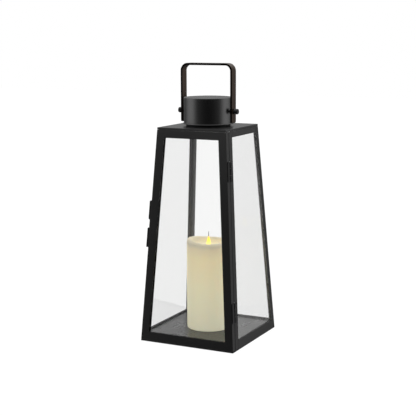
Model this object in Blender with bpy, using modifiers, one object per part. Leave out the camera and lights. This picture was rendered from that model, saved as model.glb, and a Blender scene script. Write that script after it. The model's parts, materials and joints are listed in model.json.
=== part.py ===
"""Hurricane candle lantern: a tapered sheet-metal lantern with a hinged glass door,
a vented round cap, a swinging strap handle and a battery pillar candle inside.

Metres, +Z up. The origin is the middle of the base, on the surface the lantern stands on.
The door is the front (-Y) face: it is hinged on the right (+X) and latched on the left (-X).
The four faces lean in, so most planes below are given as an inset from a leaning outer face.
"""
import math

import bmesh
import bpy
from mathutils import Matrix, Vector

MM = 0.001

# Driving dimensions of the body
BODY_HEIGHT = 368 * MM
BASE_WIDTH = 176 * MM
ROOF_WIDTH = 128 * MM
SHEET = 1.2 * MM
GAP = 0.3 * MM
GLASS = 2.0 * MM

# Corner posts, rails and base
POST_LEG = 12.0 * MM
BACK_POST_LEG = 10.5 * MM
BOTTOM_RAIL_TOP = 16.7 * MM
TOP_RAIL_DROP = 13.8 * MM
RAIL_FOOT = 10.0 * MM
FLOOR_TOP = 14.0 * MM
FLOOR_SKIRT_BOTTOM = 4.0 * MM
SILL_THICKNESS = 2.4 * MM
CHANNEL_LIP = 2.4 * MM
ROOF_EDGE = 3.6 * MM
VENT_RADIUS = 30.0 * MM

# Door
DOOR_DEPTH = 10.0 * MM
DOOR_STILE = 14.5 * MM
DOOR_TOP_RAIL_DROP = 17.2 * MM
DOOR_BOTTOM_RAIL_TOP = 17.0 * MM
DOOR_TOP_CLEARANCE = 1.2 * MM
DOOR_BOTTOM_CLEARANCE = 0.4 * MM
DOOR_TOP_FLANGE = 6.0 * MM
POST_SETBACK = 11.2 * MM
DOOR_GLASS_INSET = 3.0 * MM
STRIP_REACH = 9.0 * MM
STRIP_BOTTOM = 20 * MM
STRIP_TOP = 345 * MM

# Hinges
HINGE_LENGTH = 33 * MM
HINGE_MIDDLES = {"upper": 299 * MM, "lower": 65 * MM}
HINGE_STAND_OFF = 0.5 * MM
BARREL_RADIUS = 2.0 * MM
PIN_RADIUS = 1.0 * MM
PIN_HOLE_RADIUS = 1.25 * MM
LEAF_THICKNESS = 0.9 * MM
LEAF_EDGE = 9.4 * MM
LEAF_REACH = 1.5 * MM
BARREL_CLEARANCE = 2.4 * MM

# Latch on the left side, close to the front corner
LATCH_FRONT = 1.5 * MM
LATCH_BACK = 9.5 * MM
GUIDE_BOTTOM = 215 * MM
GUIDE_TOP = 244 * MM
GUIDE_HEIGHT = 4.4 * MM
KEEPER_BOTTOM = 164 * MM
KEEPER_TOP = 197 * MM
KEEPER_HEIGHT = 4.7 * MM
KEEPER_BACK = 22.0 * MM
KEEPER_CLEARANCE = 0.6 * MM
LATCH_PLATE = 1.0 * MM
BOLT_WIDTH = 4.4 * MM
BOLT_THICKNESS = 1.3 * MM
BOLT_NUB_HEIGHT = 5.6 * MM
BOLT_NUB_LENGTH = 3.2 * MM

# Vent neck, cap and handle
NECK_RADIUS = 38.0 * MM
NECK_TOP = 386.0 * MM
CAP_RADIUS = 41.7 * MM
CAP_BOTTOM = 371.5 * MM
CAP_TOP = 416.6 * MM
CAP_LIP_RADIUS = 43.2 * MM
CAP_LIP_HEIGHT = 1.6 * MM
CAP_EDGE_RADIUS = 0.9 * MM
PIVOT_HEIGHT = 393.4 * MM
STUD_RADIUS = 2.0 * MM
STUD_HOLE_RADIUS = 2.3 * MM
STRAP_THICKNESS = 3.6 * MM
STRAP_WIDTH = 16.0 * MM
STRAP_HALF_SPAN = 48.6 * MM
STRAP_TOP = 474.0 * MM
STRAP_CORNER_RADIUS = 13.0 * MM
STRAP_TAIL = 19.3 * MM
KNOB_RADIUS = 4.65 * MM
KNOB_LENGTH = 7.3 * MM
SPACER_RADIUS = 4.5 * MM
NUT_RADIUS = 4.0 * MM
NUT_LENGTH = 3.0 * MM
BRIDGE_HALF_WIDTH = 5.0 * MM
BRIDGE_HALF_SPAN = 39.55 * MM
BRIDGE_TOP = 400.0 * MM

# Pillar candle, with heights above its own base
CANDLE_RADIUS = 38.1 * MM
CANDLE_HEIGHT = 152.4 * MM
CANDLE_RIM_RADIUS = 4.0 * MM
CANDLE_BOWL_DEPTH = 9.5 * MM
CANDLE_CAVITY_RADIUS = 33.0 * MM
CANDLE_CAVITY_TOP = 132.0 * MM
CANDLE_WICK_HOLE = 6.5 * MM
FLAME_RADIUS = 5.6 * MM
FLAME_TIP = 162.2 * MM
FLAME_STEM_RADIUS = 4.4 * MM
FLAME_STEM_BOTTOM = 117.0 * MM
WICK_RADIUS = 0.7 * MM
WICK_TIP = 169.7 * MM
CORE_FLANGE_BOTTOM = 1.0 * MM
CORE_FLANGE_TOP = 3.0 * MM
CORE_FLANGE_RADIUS = 32.6 * MM
CORE_RADIUS = 26.0 * MM
CORE_BORE = 22.5 * MM
CORE_TOP = 61.5 * MM
CORE_POST_RADIUS = 7.0 * MM
CORE_POST_BORE = 5.0 * MM
CORE_POST_TOP = 127.0 * MM
CORE_CAP_THICKNESS = 2.0 * MM
BATTERY_RADIUS = 7.2 * MM
BATTERY_OFFSET = 8.0 * MM
BATTERY_BOTTOM = 8.6 * MM
BATTERY_TOP = 58.6 * MM
COVER_HOLE = 20.3 * MM
COVER_RADIUS = 19.9 * MM
COVER_LUG_REACH = 21.8 * MM
COVER_LUG_HALF_WIDTH = 4.0 * MM
COVER_TWIST = math.radians(45)
SCREW_RADIUS = 0.9 * MM
SCREW_HEAD_RADIUS = 1.6 * MM
SCREW_LENGTH = 8.0 * MM
SPRING_RADIUS = 3.4 * MM
SPRING_WIRE = 0.35 * MM
SWITCH_TRAVEL = 3.0 * MM
SWITCH_OFFSET = 29.5 * MM

# Worked out from the above
HALF_BASE = BASE_WIDTH / 2
LEAN = (BASE_WIDTH - ROOF_WIDTH) / 2 / BODY_HEIGHT
ROOF_BOTTOM = BODY_HEIGHT - ROOF_EDGE
FRAME_TOP = ROOF_BOTTOM - GAP
DOOR_BOTTOM = SILL_THICKNESS + DOOR_BOTTOM_CLEARANCE
DOOR_TOP = ROOF_BOTTOM - DOOR_TOP_CLEARANCE
GLASS_INSET = SHEET + GAP
GLASS_BACK = GLASS_INSET + GLASS
CANDLE_BASE = FLOOR_TOP + GAP
FAR = 0.5  # a cutter's reach past everything


def clear_scene():
    for obj in list(bpy.data.objects):
        bpy.data.objects.remove(obj)


def new_collection(name):
    collection = bpy.data.collections.new(name)
    bpy.context.scene.collection.children.link(collection)
    return collection


def make_material(name, color, roughness, metallic=0.0, alpha=1.0, glow=0.0):
    material = bpy.data.materials.new(name)
    material.use_nodes = True
    shader = material.node_tree.nodes["Principled BSDF"]
    shader.inputs["Base Color"].default_value = (*color, 1.0)
    shader.inputs["Roughness"].default_value = roughness
    shader.inputs["Metallic"].default_value = metallic
    shader.inputs["Alpha"].default_value = alpha
    shader.inputs["Emission Color"].default_value = (*color, 1.0)
    shader.inputs["Emission Strength"].default_value = glow
    return material


clear_scene()
PARTS = new_collection("Hurricane candle lantern")
CUTTERS = new_collection("Cutters")

BLACK_PAINT = make_material("black_paint", (0.012, 0.012, 0.012), 0.42, 0.3)
BRONZE = make_material("bronze", (0.055, 0.035, 0.024), 0.35, 0.8)
BLACK_STEEL = make_material("black_steel", (0.008, 0.008, 0.008), 0.3, 0.6)
BRIGHT_STEEL = make_material("bright_steel", (0.55, 0.55, 0.55), 0.3, 1.0)
CLEAR_GLASS = make_material("clear_glass", (0.92, 0.95, 0.95), 0.03, 0.0, 0.35)
WAX = make_material("ivory_wax", (0.62, 0.57, 0.37), 0.5)
FLAME = make_material("flame_lens", (1.0, 0.72, 0.05), 0.3, 0.0, 1.0, 2.0)
WICK = make_material("wick_cord", (0.09, 0.07, 0.06), 0.9)
WHITE_PLASTIC = make_material("white_plastic", (0.8, 0.8, 0.78), 0.4)
BLACK_PLASTIC = make_material("black_plastic", (0.02, 0.02, 0.02), 0.4)
BATTERY_WRAP = make_material("battery_wrap", (0.05, 0.12, 0.3), 0.35)


# ---- Shape helpers ----

def add_object(name, bm, material, frame=None):
    """Turn a bmesh into an object among the parts, or among the cutters without a material."""
    bmesh.ops.recalc_face_normals(bm, faces=bm.faces)
    mesh = bpy.data.meshes.new(name)
    bm.to_mesh(mesh)
    bm.free()
    obj = bpy.data.objects.new(name, mesh)
    if frame is not None:
        obj.matrix_world = frame
    if material is None:
        CUTTERS.objects.link(obj)
        obj.hide_render = True
        obj.display_type = "WIRE"
    else:
        PARTS.objects.link(obj)
        mesh.materials.append(material)
    return obj


def wall(side, inset):
    """A plane parallel to an outer face: its place at z = 0 and its change with height."""
    return side * (HALF_BASE - inset), -side * LEAN


def upright(place):
    return place, 0.0


def block(name, x, y, z, material=None, frame=None):
    """A box whose sides are walls or upright planes, between two heights."""
    bm = bmesh.new()
    bmesh.ops.create_cube(bm, size=1.0)
    for vert in bm.verts:
        height = z[vert.co.z > 0]
        x_place, x_lean = x[vert.co.x > 0]
        y_place, y_lean = y[vert.co.y > 0]
        vert.co = (x_place + x_lean * height, y_place + y_lean * height, height)
    return add_object(name, bm, material, frame)


def box(name, x, y, z, material=None, frame=None):
    """An upright box from its low and high corners."""
    return block(name, [upright(v) for v in x], [upright(v) for v in y], z, material, frame)


def rod(name, radius, start, end, material=None, segments=24, frame=None):
    """A cylinder from one point to another."""
    start, end = Vector(start), Vector(end)
    axis = end - start
    bm = bmesh.new()
    bmesh.ops.create_cone(bm, cap_ends=True, segments=segments, radius1=radius, radius2=radius,
                          depth=axis.length)
    place = Matrix.Translation((start + end) / 2) @ axis.to_track_quat("Z", "Y").to_matrix().to_4x4()
    bmesh.ops.transform(bm, matrix=place, verts=bm.verts)
    return add_object(name, bm, material, frame)


def prism(name, outline, low, high, material=None, frame=None):
    """A flat outline in XY, extruded from one height to another."""
    bm = bmesh.new()
    verts = [bm.verts.new((x, y, low)) for x, y in outline]
    face = bm.faces.new(verts)
    extruded = bmesh.ops.extrude_face_region(bm, geom=[face])
    top = [item for item in extruded["geom"] if isinstance(item, bmesh.types.BMVert)]
    bmesh.ops.translate(bm, verts=top, vec=(0, 0, high - low))
    return add_object(name, bm, material, frame)


def turned(name, profile, steps, material, frame=None, closed=False):
    """A profile of (radius, height) turned about Z. It runs down the outer side."""
    bm = bmesh.new()
    verts = [bm.verts.new((radius, 0, height)) for radius, height in profile]
    for start, end in zip(verts, verts[1:]):
        bm.edges.new((start, end))
    if closed:
        bm.edges.new((verts[-1], verts[0]))
    mesh = bpy.data.meshes.new(name)
    bm.to_mesh(mesh)
    bm.free()
    mesh.materials.append(material)
    obj = bpy.data.objects.new(name, mesh)
    PARTS.objects.link(obj)
    if frame is not None:
        obj.matrix_world = frame
    screw = obj.modifiers.new("Turn", "SCREW")
    screw.steps = steps
    screw.render_steps = steps
    screw.use_merge_vertices = True
    screw.merge_threshold = 0.00001
    screw.use_smooth_shade = False
    return obj


def arc(center, radius, start, end, count):
    """Points along an arc in degrees, both ends included."""
    angles = [math.radians(start + (end - start) * i / count) for i in range(count + 1)]
    return [(center[0] + radius * math.cos(a), center[1] + radius * math.sin(a)) for a in angles]


def combine(obj, other, operation):
    modifier = obj.modifiers.new(operation.title(), "BOOLEAN")
    modifier.operation = operation
    modifier.object = other
    modifier.solver = "EXACT"


def cut(obj, *cutters):
    for cutter in cutters:
        combine(obj, cutter, "DIFFERENCE")


def unite(obj, *others):
    for other in others:
        combine(obj, other, "UNION")


def upward(x_side, y_side):
    """Leans a shape along a corner edge: the outlines of posts are drawn at z = 0."""
    frame = Matrix.Identity(4)
    frame[0][2] = -x_side * LEAN
    frame[1][2] = -y_side * LEAN
    return frame


def side_frame(side, back, outward, height):
    """Axes of a left or right face, at a distance behind its front edge: X points out of the
    face, Z runs up along the corner edge, and Y lies in the face (backwards on the right
    side, forwards on the left side)."""
    up = Vector((-side * LEAN, LEAN, 1)).normalized()
    out = Vector((side, 0, LEAN)).normalized()
    across = up.cross(out)
    origin = Vector((side * (HALF_BASE - LEAN * height), back - HALF_BASE + LEAN * height, height))
    frame = Matrix((out, across, up)).transposed().to_4x4()
    frame.translation = origin + out * outward
    return frame


# ---- Body: base, posts, rails, roof and panes ----

def make_base():
    """A floor pan with a downturned skirt, on three foot rails and a front sill."""
    floor_x = (wall(-1, GLASS_INSET), wall(1, GLASS_INSET))
    floor_y = (wall(-1, POST_SETBACK + SHEET + GAP), wall(1, GLASS_INSET))
    lip = GLASS_BACK + GAP
    everywhere = (upright(-FAR), upright(FAR))
    above_floor = (FLOOR_TOP, FAR)
    pan = block("floor_pan", floor_x, floor_y, (FLOOR_SKIRT_BOTTOM, FLOOR_TOP + CHANNEL_LIP),
                BLACK_PAINT)
    hollow = block("floor_hollow", (wall(-1, GLASS_INSET + SHEET), wall(1, GLASS_INSET + SHEET)),
                   (wall(-1, POST_SETBACK + 2 * SHEET + GAP), wall(1, GLASS_INSET + SHEET)),
                   (-FAR, FLOOR_TOP - SHEET))
    tread = block("floor_tread", (wall(-1, lip + SHEET), wall(1, lip + SHEET)),
                  (upright(-FAR), wall(1, lip + SHEET)), above_floor)
    ledges = [
        block("ledge_left", (upright(-FAR), wall(-1, lip)), everywhere, above_floor),
        block("ledge_right", (wall(1, lip), upright(FAR)), everywhere, above_floor),
        block("ledge_back", everywhere, (wall(1, lip), upright(FAR)), above_floor),
    ]
    cut(pan, hollow, tread, *ledges)

    rail_ends = (wall(-1, POST_SETBACK + POST_LEG + GAP), wall(1, BACK_POST_LEG + GAP))
    for name, side in (("left", -1), ("right", 1)):
        spans = sorted((wall(side, 0), wall(side, RAIL_FOOT)))
        inside = sorted((wall(side, SHEET), upright(0)))
        rail = block("bottom_rail_" + name, spans, rail_ends, (0, BOTTOM_RAIL_TOP), BLACK_PAINT)
        cut(rail, block("bottom_rail_hollow_" + name, inside, everywhere, (SHEET, FAR)))
    rail = block("bottom_rail_back", (wall(-1, BACK_POST_LEG + GAP), wall(1, BACK_POST_LEG + GAP)),
                 (wall(1, RAIL_FOOT), wall(1, 0)), (0, BOTTOM_RAIL_TOP), BLACK_PAINT)
    cut(rail, block("bottom_rail_hollow_back", everywhere, (upright(0), wall(1, SHEET)), (SHEET, FAR)))

    sill_y = (wall(-1, 0), wall(-1, POST_SETBACK + POST_LEG))
    sill = block("front_sill", (wall(-1, 0), wall(1, 0)), sill_y, (0, SILL_THICKNESS), BLACK_PAINT)
    riser_end = POST_LEG + GAP
    unite(sill, block("sill_riser", (wall(-1, riser_end), wall(1, riser_end)),
                      (wall(-1, POST_SETBACK), wall(-1, POST_SETBACK + SHEET)), (SHEET, FLOOR_TOP)))


def angle_outline(leg_across, leg_along, setback):
    """An angle section's corners, as insets from the two outer faces."""
    return [(0, setback), (leg_across, setback), (leg_across, setback + SHEET),
            (SHEET, setback + SHEET), (SHEET, setback + leg_along), (0, setback + leg_along)]


def make_post(name, x_side, y_side, leg, setback, bottom):
    outline = [(x_side * (HALF_BASE - across), y_side * (HALF_BASE - along))
               for across, along in angle_outline(leg, leg, setback)]
    post = prism(name, outline, bottom, FRAME_TOP, BLACK_PAINT)
    post.data.transform(upward(x_side, y_side))
    return post


def make_posts():
    posts = {}
    for x_name, x_side in (("left", -1), ("right", 1)):
        front = make_post("post_front_" + x_name, x_side, -1, POST_LEG, POST_SETBACK,
                          SILL_THICKNESS + GAP)
        make_post("post_back_" + x_name, x_side, 1, BACK_POST_LEG, 0, 0)
        posts[x_name] = front
    return posts


def make_top_rails():
    """Channels that open downwards over the top edges of the three fixed panes."""
    rail_bottom = BODY_HEIGHT - TOP_RAIL_DROP
    inner_leg = GLASS_BACK + GAP
    z = (rail_bottom, FRAME_TOP)
    everywhere = (upright(-FAR), upright(FAR))
    rail_ends = (wall(-1, POST_SETBACK + POST_LEG + GAP), wall(1, BACK_POST_LEG + GAP))
    for name, side in (("left", -1), ("right", 1)):
        spans = sorted((wall(side, 0), wall(side, inner_leg + SHEET)))
        groove = sorted((wall(side, SHEET), wall(side, inner_leg)))
        rail = block("top_rail_" + name, spans, rail_ends, z, BLACK_PAINT)
        cut(rail, block("top_rail_groove_" + name, groove, everywhere, (0, FRAME_TOP - SHEET)))
    rail = block("top_rail_back", (wall(-1, BACK_POST_LEG + GAP), wall(1, BACK_POST_LEG + GAP)),
                 (wall(1, inner_leg + SHEET), wall(1, 0)), z, BLACK_PAINT)
    cut(rail, block("top_rail_groove_back", everywhere, (wall(1, inner_leg), wall(1, SHEET)),
                    (0, FRAME_TOP - SHEET)))
    header_end = POST_LEG + GAP
    block("front_header", (wall(-1, header_end), wall(1, header_end)),
          (wall(-1, POST_SETBACK), wall(-1, POST_SETBACK + SHEET)), z, BLACK_PAINT)


def make_panes():
    z = (FLOOR_TOP + GAP, FRAME_TOP - SHEET - GAP)
    pane_ends = (wall(-1, POST_SETBACK + SHEET + GAP), wall(1, GLASS_BACK + GAP))
    for name, side in (("left", -1), ("right", 1)):
        faces = sorted((wall(side, GLASS_INSET), wall(side, GLASS_BACK)))
        block("glass_" + name, faces, pane_ends, z, CLEAR_GLASS)
    block("glass_back", (wall(-1, GLASS_INSET), wall(1, GLASS_INSET)),
          (wall(1, GLASS_BACK), wall(1, GLASS_INSET)), z, CLEAR_GLASS)


def make_roof():
    """A plate with a short downturned edge and a round vent hole."""
    roof = block("roof_plate", (wall(-1, 0), wall(1, 0)), (wall(-1, 0), wall(1, 0)),
                 (ROOF_BOTTOM, BODY_HEIGHT), BLACK_PAINT)
    hollow = block("roof_hollow", (wall(-1, SHEET), wall(1, SHEET)), (wall(-1, SHEET), wall(1, SHEET)),
                   (0, BODY_HEIGHT - SHEET))
    hole = rod("roof_hole", VENT_RADIUS, (0, 0, ROOF_BOTTOM - FAR / 10), (0, 0, BODY_HEIGHT + FAR / 10),
               segments=48)
    cut(roof, hollow, hole)


# ---- Vent neck, cap and handle ----

def make_cap():
    neck_bottom = BODY_HEIGHT + GAP
    bore = NECK_RADIUS - SHEET
    neck = turned("vent_neck", [(NECK_RADIUS, NECK_TOP), (NECK_RADIUS, neck_bottom),
                                (bore, neck_bottom), (bore, NECK_TOP)], 48, BLACK_PAINT, closed=True)
    window_half_width = 7 * MM
    window = (neck_bottom + 5 * MM, NECK_TOP - 3 * MM)
    for i in range(4):
        turn = Matrix.Rotation(math.radians(22.5 + 45 * i), 4, "Z")
        cut(neck, box("neck_windows_%d" % i, (-CAP_RADIUS, CAP_RADIUS),
                      (-window_half_width, window_half_width), window, frame=turn))

    edge = CAP_EDGE_RADIUS
    lip_top = CAP_BOTTOM + CAP_LIP_HEIGHT
    profile = [(0, CAP_TOP)]
    profile += arc((CAP_RADIUS - edge, CAP_TOP - edge), edge, 90, 0, 3)
    profile += [(CAP_RADIUS, lip_top + CAP_LIP_RADIUS - CAP_RADIUS), (CAP_LIP_RADIUS, lip_top),
                (CAP_LIP_RADIUS, CAP_BOTTOM), (CAP_RADIUS - SHEET, CAP_BOTTOM),
                (CAP_RADIUS - SHEET, CAP_TOP - SHEET), (0, CAP_TOP - SHEET)]
    cap = turned("cap_shell", profile, 64, BLACK_PAINT)
    reach = STRAP_HALF_SPAN
    hole_ends = ((-reach, 0, PIVOT_HEIGHT), (reach, 0, PIVOT_HEIGHT))
    cut(cap, rod("cap_stud_holes", STUD_HOLE_RADIUS, *hole_ends))

    bridge_bottom = NECK_TOP + GAP
    bridge = box("cap_bridge", (-BRIDGE_HALF_SPAN, BRIDGE_HALF_SPAN),
                 (-BRIDGE_HALF_WIDTH, BRIDGE_HALF_WIDTH), (bridge_bottom, BRIDGE_TOP), BLACK_STEEL)
    inner_span = BRIDGE_HALF_SPAN - SHEET
    cut(bridge,
        box("bridge_hollow", (-inner_span, inner_span), (-FAR, FAR), (bridge_bottom + SHEET, FAR)),
        rod("bridge_stud_holes", STUD_HOLE_RADIUS, *hole_ends))


def make_pivots():
    """On each side: a stud through the cap wall, with a nut, a spacer and a round end knob."""
    nut_outer = BRIDGE_HALF_SPAN - SHEET - GAP
    spacer_span = (CAP_RADIUS + GAP, STRAP_HALF_SPAN - STRAP_THICKNESS - GAP)
    knob_start = STRAP_HALF_SPAN + GAP
    knob_end = knob_start + KNOB_LENGTH
    blind_end = knob_end - 2 * MM
    edge = 0.8 * MM
    for name, side in (("left", -1), ("right", 1)):
        def along(distance):
            return (side * distance, 0, PIVOT_HEIGHT)
        nut_inner = nut_outer - NUT_LENGTH
        rod("pivot_stud_" + name, STUD_RADIUS, along(nut_inner - 1 * MM), along(blind_end - GAP),
            BLACK_STEEL)
        nut = rod("pivot_nut_" + name, NUT_RADIUS, along(nut_inner), along(nut_outer), BLACK_STEEL, 6)
        cut(nut, rod("nut_bore_" + name, STUD_HOLE_RADIUS, along(0), along(STRAP_HALF_SPAN)))
        spacer = rod("pivot_spacer_" + name, SPACER_RADIUS, along(spacer_span[0]), along(spacer_span[1]),
                     BLACK_STEEL)
        cut(spacer, rod("spacer_bore_" + name, STUD_HOLE_RADIUS, along(0), along(knob_start)))
        profile = [(0, knob_end)]
        profile += arc((KNOB_RADIUS - edge, knob_end - edge), edge, 90, 0, 3)
        profile += arc((KNOB_RADIUS - edge, knob_start + edge), edge, 0, -90, 3)
        profile += [(STUD_HOLE_RADIUS, knob_start), (STUD_HOLE_RADIUS, blind_end), (0, blind_end)]
        turn = Matrix.Translation((0, 0, PIVOT_HEIGHT)) @ Matrix.Rotation(side * math.pi / 2, 4, "Y")
        turned("pivot_knob_" + name, profile, 24, BLACK_STEEL, turn)


def strap_side(half_span, top, radius, tail):
    """Half of the strap's outline, from the left foot to the right foot, in X and Z."""
    points = [(-half_span, tail)]
    points += arc((radius - half_span, top - radius), radius, 180, 90, 8)
    points += arc((half_span - radius, top - radius), radius, 90, 0, 8)
    points += [(half_span, tail)]
    return points


def make_handle():
    tail = PIVOT_HEIGHT - STRAP_TAIL
    outer = strap_side(STRAP_HALF_SPAN, STRAP_TOP, STRAP_CORNER_RADIUS, tail)
    inner = strap_side(STRAP_HALF_SPAN - STRAP_THICKNESS, STRAP_TOP - STRAP_THICKNESS,
                       STRAP_CORNER_RADIUS - STRAP_THICKNESS, tail)
    turn = Matrix.Rotation(math.pi / 2, 4, "X")
    strap = prism("handle_strap", outer + inner[::-1], -STRAP_WIDTH / 2, STRAP_WIDTH / 2, BRONZE,
                  turn)
    reach = 2 * STRAP_HALF_SPAN
    cut(strap, rod("strap_holes", STUD_HOLE_RADIUS, (-reach, PIVOT_HEIGHT, 0),
                   (reach, PIVOT_HEIGHT, 0), frame=turn))


# ---- Door, hinges and latch ----

def make_door():
    """A folded tray with a window: a front face with flanges all round, 10 mm deep."""
    z = (DOOR_BOTTOM, DOOR_TOP)
    door = block("door_frame", (wall(-1, 0), wall(1, 0)), (wall(-1, 0), wall(-1, DOOR_DEPTH)), z,
                 BLACK_PAINT)
    hollow = block("door_hollow", (wall(-1, SHEET), wall(1, SHEET)), (wall(-1, SHEET), upright(FAR)),
                   (DOOR_BOTTOM + SHEET, DOOR_TOP - SHEET))
    window = block("door_window", (wall(-1, DOOR_STILE), wall(1, DOOR_STILE)),
                   (upright(-FAR), upright(FAR)),
                   (DOOR_BOTTOM_RAIL_TOP, BODY_HEIGHT - DOOR_TOP_RAIL_DROP))
    top_relief = block("door_top_relief", (wall(-1, 2 * SHEET), wall(1, 2 * SHEET)),
                       (wall(-1, DOOR_TOP_FLANGE), upright(FAR)), (DOOR_TOP - 2 * SHEET, FAR))
    cut(door, hollow, window, top_relief)
    block("door_glass", (wall(-1, DOOR_GLASS_INSET), wall(1, DOOR_GLASS_INSET)),
          (wall(-1, GLASS_INSET), wall(-1, GLASS_BACK)),
          (DOOR_BOTTOM + SHEET + GAP, DOOR_TOP - SHEET - GAP), CLEAR_GLASS)
    make_glass_strips()
    return door


def make_glass_strips():
    """Angle strips on the side flanges that hold the pane against the door's face."""
    start = GLASS_BACK + GAP
    sheet = 0.8 * MM
    edge = SHEET + GAP
    end = DOOR_DEPTH - 1 * MM
    outline = [(edge, start), (STRIP_REACH, start), (STRIP_REACH, start + sheet),
               (edge + sheet, start + sheet), (edge + sheet, end), (edge, end)]
    for name, side in (("left", -1), ("right", 1)):
        corners = [(side * (HALF_BASE - across), depth - HALF_BASE) for across, depth in outline]
        strip = prism("door_glass_strip_" + name, corners, STRIP_BOTTOM, STRIP_TOP, BLACK_STEEL)
        strip.data.transform(upward(side, -1))


def leaf_outline(direction, knuckles):
    """A hinge leaf: a plate with a tongue to each of its own knuckles."""
    half = HINGE_LENGTH / 2
    points = [(BARREL_CLEARANCE, -half)]
    for low, high in knuckles:
        points += [(BARREL_CLEARANCE, low), (LEAF_REACH, low), (LEAF_REACH, high),
                   (BARREL_CLEARANCE, high)]
    points += [(BARREL_CLEARANCE, half), (LEAF_EDGE, half), (LEAF_EDGE, -half)]
    unique = [point for i, point in enumerate(points) if point != points[i - 1]]
    return [(direction * across, height) for across, height in unique]


def make_leaf(name, direction, knuckles, frame):
    """A leaf with its knuckles. Its outline is drawn in the face and extruded out of it."""
    in_face = Matrix(((0, 0, 1, 0), (1, 0, 0, 0), (0, 1, 0, 0), (0, 0, 0, 1)))
    low = GAP - HINGE_STAND_OFF
    leaf = prism(name, leaf_outline(direction, knuckles), low, low + LEAF_THICKNESS, BLACK_STEEL)
    leaf.data.transform(frame @ in_face)
    for i, (start, end) in enumerate(knuckles):
        knuckle = "%s_knuckle_%d" % (name, i)
        unite(leaf, rod(knuckle, BARREL_RADIUS, (0, 0, start), (0, 0, end), frame=frame))
    cut(leaf, rod(name + "_bore", PIN_HOLE_RADIUS, (0, 0, -HINGE_LENGTH), (0, 0, HINGE_LENGTH),
                  frame=frame))


def make_hinges(door, post):
    """Butt hinges of three knuckles on the right side, in notches of the door and the post."""
    half = HINGE_LENGTH / 2
    third = HINGE_LENGTH / 6
    play = 0.4 * MM
    axis_back = (DOOR_DEPTH + POST_SETBACK) / 2
    notch = half + 0.6 * MM
    for name, middle in HINGE_MIDDLES.items():
        frame = side_frame(1, axis_back, HINGE_STAND_OFF, middle)
        body_knuckles = [(-half, -third - play), (third + play, half)]
        make_leaf("hinge_leaf_body_" + name, 1, body_knuckles, frame)
        make_leaf("hinge_leaf_door_" + name, -1, [(-third, third)], frame)
        rod("hinge_pin_" + name, PIN_RADIUS, (0, 0, -half - GAP), (0, 0, half + GAP), BRIGHT_STEEL,
            16, frame)
        reach = (-BARREL_CLEARANCE, BARREL_CLEARANCE)
        cutter = box("hinge_notch_" + name, reach, reach, (-notch, notch), frame=frame)
        cut(door, cutter)
        cut(post, cutter)


def make_latch():
    """A slide bolt in a guide on the door's flange, above a keeper that reaches over from
    the post. Its pieces lie in the left side's frame: X out, Y forwards from the front edge."""
    plate = (GAP, GAP + LATCH_PLATE)
    bolt_middle = (LATCH_FRONT + LATCH_BACK) / 2
    bolt_y = (-bolt_middle - BOLT_WIDTH / 2, -bolt_middle + BOLT_WIDTH / 2)
    bolt_x = (plate[1] + GAP, plate[1] + GAP + BOLT_THICKNESS)
    slot_y = (bolt_y[0] - GAP, bolt_y[1] + GAP)
    slot_x = (bolt_x[0] - GAP, bolt_x[1] + GAP)
    over_door = (-LATCH_BACK, -LATCH_FRONT)
    frame = side_frame(-1, 0, 0, 0)

    guide = box("latch_guide", (plate[0], GUIDE_HEIGHT), over_door, (GUIDE_BOTTOM, GUIDE_TOP),
                BLACK_STEEL, frame)
    tongue = box("guide_tongue", plate, over_door, (KEEPER_TOP + 1 * MM, GUIDE_TOP - 1 * MM),
                 frame=frame)
    channel = box("guide_channel", slot_x, slot_y, (KEEPER_TOP - FAR / 10, GUIDE_TOP - 2 * MM),
                  frame=frame)
    unite(guide, tongue)
    cut(guide, channel)

    keeper_z = (KEEPER_BOTTOM, KEEPER_TOP)
    keeper = box("latch_keeper", (GAP, KEEPER_HEIGHT), (-KEEPER_BACK, -LATCH_FRONT), keeper_z,
                 BLACK_STEEL, frame)
    over_flange = box("keeper_relief", (-FAR, KEEPER_CLEARANCE), (-POST_SETBACK - GAP, FAR),
                      (0, FAR), frame=frame)
    foot_step = box("keeper_step", (2 * MM, FAR), (-FAR, -POST_SETBACK - 1 * MM), (0, FAR),
                    frame=frame)
    keeper_slot = box("keeper_slot", slot_x, slot_y, (KEEPER_BOTTOM + 2 * MM, FAR), frame=frame)
    cut(keeper, over_flange, foot_step, keeper_slot)

    bolt_bottom = KEEPER_TOP + 0.6 * MM
    bolt = box("latch_bolt", bolt_x, bolt_y, (bolt_bottom, GUIDE_TOP - 4 * MM), BLACK_STEEL,
               frame)
    nub_top = GUIDE_BOTTOM - GAP
    nub_y = (bolt_y[0] + 0.8 * MM, bolt_y[1] - 0.8 * MM)
    unite(bolt, box("bolt_nub", (bolt_x[0] + 0.5 * MM, BOLT_NUB_HEIGHT), nub_y,
                    (nub_top - BOLT_NUB_LENGTH, nub_top), frame=frame))


# ---- Candle ----

def at_candle(height=0.0):
    return Matrix.Translation((0, 0, CANDLE_BASE + height))


def make_wax():
    rim = CANDLE_RIM_RADIUS
    top = CANDLE_HEIGHT
    floor = top - CANDLE_BOWL_DEPTH
    foot = 1.2 * MM
    rim_middle = CANDLE_RADIUS - rim
    profile = arc((rim_middle, top - rim), rim, 150, 0, 8)
    profile += arc((CANDLE_RADIUS - foot, foot), foot, 0, -90, 2)
    profile += [(CANDLE_CAVITY_RADIUS, 0), (CANDLE_CAVITY_RADIUS, CANDLE_CAVITY_TOP),
                (CANDLE_WICK_HOLE, CANDLE_CAVITY_TOP), (CANDLE_WICK_HOLE, floor),
                (20 * MM, floor + 0.4 * MM), (26 * MM, floor + 2 * MM), (29 * MM, floor + 4.6 * MM)]
    turned("candle_wax", profile, 64, WAX, at_candle(), closed=True)


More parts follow.
